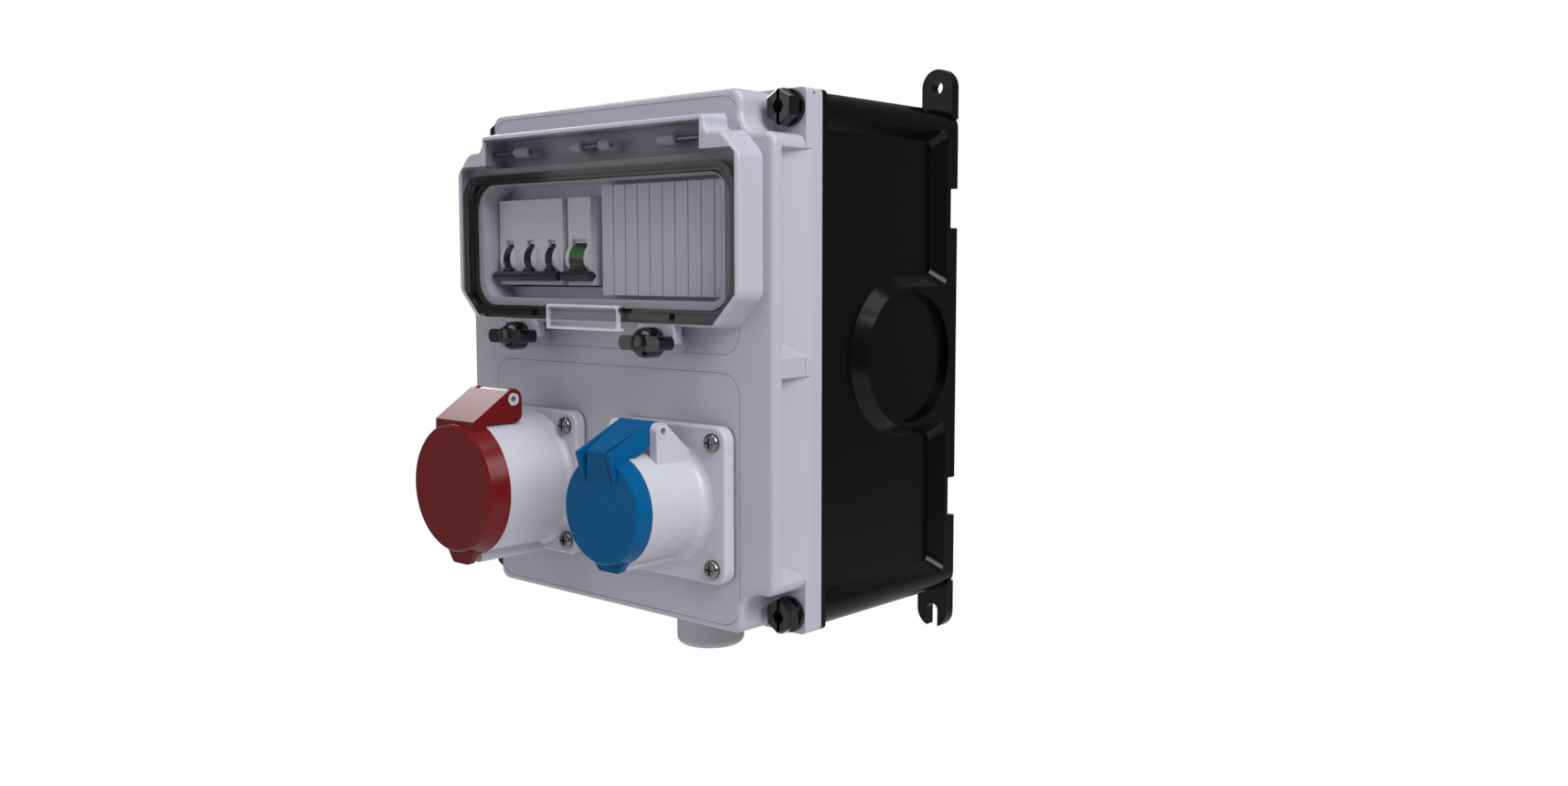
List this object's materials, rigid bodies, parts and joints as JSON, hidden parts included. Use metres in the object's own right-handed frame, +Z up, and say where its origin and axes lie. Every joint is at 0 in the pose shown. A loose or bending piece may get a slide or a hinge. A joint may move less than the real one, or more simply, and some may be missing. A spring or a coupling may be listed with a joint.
{
  "type": "industrial socket box",
  "caption": "Wall-mounted distribution box with a hinged smoked window over rail devices, lidded round sockets, corner screws and a blanked gland.",
  "frame": {"origin": "middle of the box on the wall plane, where the rear rim touches the wall", "axes": "+X to the right seen from the front, +Z up, the front faces -Y"},
  "size_m": [0.226, 0.2013, 0.3103],
  "materials": {
    "base_black": "gloss moulded plastic",
    "cover_grey": "fine satin moulded plastic",
    "mask_grey": "satin moulded plastic",
    "strip_grey": "satin moulded plastic",
    "device_grey": "satin moulded plastic",
    "gland_grey": "satin moulded plastic",
    "socket_white": "satin moulded plastic",
    "insert_black": "matt moulded plastic",
    "red_insert": "matt moulded plastic",
    "blue_insert": "matt moulded plastic",
    "red_lid": "satin gloss moulded plastic",
    "blue_lid": "satin gloss moulded plastic",
    "knob_black": "gloss moulded plastic",
    "flag_green": "gloss moulded plastic",
    "gasket_black": "matt rubber",
    "steel": "bright plated steel",
    "zinc": "zinc plated steel",
    "brass": "bright brass",
    "smoked_lid": "smoked clear plastic",
    "clear_latch": "clear plastic"
  },
  "bodies": {
    "box": {"base_housing": "base_black", "front_cover": "cover_grey", "cover_gasket": "gasket_black", "window_gasket": "gasket_black", "window_hinge_pins": "steel", "breaker_mask": "mask_grey", "blanking_strip": "strip_grey", "din_rail": "zinc", "rail_screws": "steel", "breaker_body": "device_grey", "single_pole_body": "device_grey", "terminal_holder": "insert_black", "earth_bar": "brass", "neutral_bar": "brass", "terminal_screws": "steel", "gland_body": "gland_grey", "gland_disc": "gasket_black", "gland_locknut": "gland_grey", "red_flange_gasket": "gasket_black", "red_flange_screws": "steel", "red_carrier_base": "red_insert", "red_contact_carrier": "red_insert", "red_contacts": "brass", "red_socket_body": "socket_white", "red_hinge_tube": "socket_white", "blue_flange_gasket": "gasket_black", "blue_flange_screws": "steel", "blue_carrier_base": "blue_insert", "blue_contact_carrier": "blue_insert", "blue_contacts": "brass", "blue_socket_body": "socket_white", "blue_hinge_tube": "socket_white"},
    "window_lid": {"window_lid": "smoked_lid", "window_latch_pin": "steel"},
    "window_latch": {"window_latch": "clear_latch", "latch_hook": "clear_latch"},
    "knob_left": {"wing_knob_left": "knob_black", "knob_clip_left": "steel"},
    "knob_right": {"wing_knob_right": "knob_black", "knob_clip_right": "steel"},
    "breaker_toggles": {"breaker_toggles": "knob_black", "toggle_tie_bar": "knob_black"},
    "single_pole_toggle": {"single_pole_toggle": "knob_black", "status_flag": "flag_green"},
    "red_lid": {"red_lid": "red_lid", "red_lid_seal": "gasket_black", "red_lid_spring": "steel"},
    "blue_lid": {"blue_lid": "blue_lid", "blue_lid_seal": "gasket_black", "blue_lid_spring": "steel"},
    "gland_cap": {"gland_cap": "gland_grey"},
    "cover_screw_top_left": {"cover_screw_top_left": "knob_black"},
    "cover_screw_top_right": {"cover_screw_top_right": "knob_black"},
    "cover_screw_bottom_left": {"cover_screw_bottom_left": "knob_black"},
    "cover_screw_bottom_right": {"cover_screw_bottom_right": "knob_black"}
  },
  "joints": [
    {"name": "window_lid_hinge", "type": "hinge", "parent": "box", "child": "window_lid", "pos_m": [0, -0.1531, 0.105], "axis": [-1, 0, 0], "range_deg": [0, 95]},
    {"name": "window_latch_pivot", "type": "hinge", "parent": "window_lid", "child": "window_latch", "pos_m": [0, -0.1602, 0.0254], "axis": [-1, 0, 0], "range_deg": [0, 60]},
    {"name": "knob_left_turn", "type": "hinge", "parent": "box", "child": "knob_left", "pos_m": [-0.0506, -0.16, 0.0102], "axis": [0, -1, 0], "range_deg": [0, 90]},
    {"name": "knob_right_turn", "type": "hinge", "parent": "box", "child": "knob_right", "pos_m": [0.0506, -0.16, 0.0102], "axis": [0, -1, 0], "range_deg": [0, 90]},
    {"name": "breaker_switch", "type": "hinge", "parent": "box", "child": "breaker_toggles", "pos_m": [-0.06235, -0.1373, 0.05], "axis": [-1, 0, 0], "range_deg": [0, 90]},
    {"name": "single_pole_switch", "type": "hinge", "parent": "box", "child": "single_pole_toggle", "pos_m": [-0.02245, -0.1373, 0.05], "axis": [-1, 0, 0], "range_deg": [0, 90]},
    {"name": "red_lid_hinge", "type": "hinge", "parent": "box", "child": "red_lid", "pos_m": [-0.0558, -0.1738, -0.0216], "axis": [-1, 0, 0], "range_deg": [0, 95], "stiffness_Nm_per_rad": 0.08, "springref_deg": -34.38},
    {"name": "blue_lid_hinge", "type": "hinge", "parent": "box", "child": "blue_lid", "pos_m": [0.0502, -0.1704, -0.03], "axis": [-1, 0, 0], "range_deg": [0, 105], "stiffness_Nm_per_rad": 0.05, "springref_deg": -34.38},
    {"name": "gland_cap_turn", "type": "hinge", "parent": "box", "child": "gland_cap", "pos_m": [0, -0.0713, -0.1548], "axis": [0, 0, 1], "range_deg": [0, 360]},
    {"name": "cover_screw_top_left_turn", "type": "hinge", "parent": "box", "child": "cover_screw_top_left", "pos_m": [-0.104, -0.1232, 0.1185], "axis": [0, -1, 0], "range_deg": [0, 90]},
    {"name": "cover_screw_top_right_turn", "type": "hinge", "parent": "box", "child": "cover_screw_top_right", "pos_m": [0.104, -0.1232, 0.1185], "axis": [0, -1, 0], "range_deg": [0, 90]},
    {"name": "cover_screw_bottom_left_turn", "type": "hinge", "parent": "box", "child": "cover_screw_bottom_left", "pos_m": [-0.104, -0.1232, -0.1185], "axis": [0, -1, 0], "range_deg": [0, 90]},
    {"name": "cover_screw_bottom_right_turn", "type": "hinge", "parent": "box", "child": "cover_screw_bottom_right", "pos_m": [0.104, -0.1232, -0.1185], "axis": [0, -1, 0], "range_deg": [0, 90]}
  ]
}
